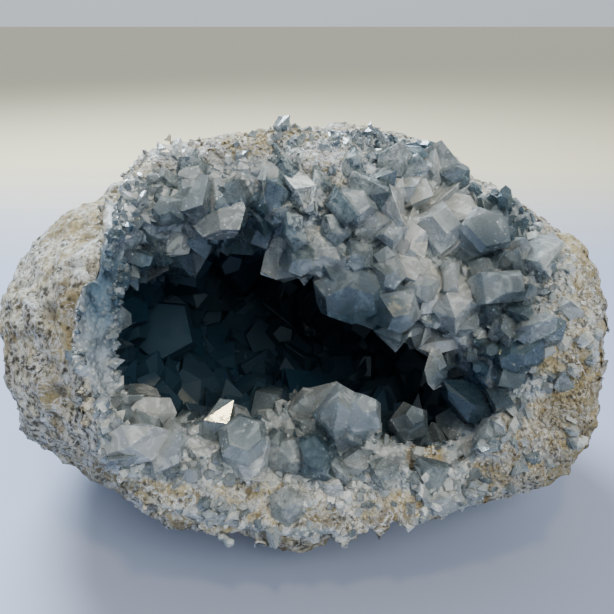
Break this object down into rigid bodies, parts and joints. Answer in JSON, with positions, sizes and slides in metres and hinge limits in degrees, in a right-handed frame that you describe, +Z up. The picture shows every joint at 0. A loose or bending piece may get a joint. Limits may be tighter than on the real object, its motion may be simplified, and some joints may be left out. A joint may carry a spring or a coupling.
{
  "type": "celestite geode",
  "caption": "Rough rock nodule broken open at the front, its deep hollow and broken face lined with one crust of grey-blue celestite crystals; stands on a small flat spot.",
  "frame": {"origin": "middle of the overall box's footprint, at the height of the flat spot that it stands on", "axes": "+X along the long side, +Z up, -Y towards the front, where the hollow opens"},
  "size_m": [0.1616, 0.1156, 0.1016],
  "materials": {
    "host_rock": "rough grey-tan rock with ochre patches, pale veins and dark specks",
    "celestite": "clear to milky grey-blue crystal with smooth flat faces, frosted white near the rim"
  },
  "bodies": {
    "root": {"rind": "host_rock", "crystal_crust": "celestite"}
  },
  "joints": []
}
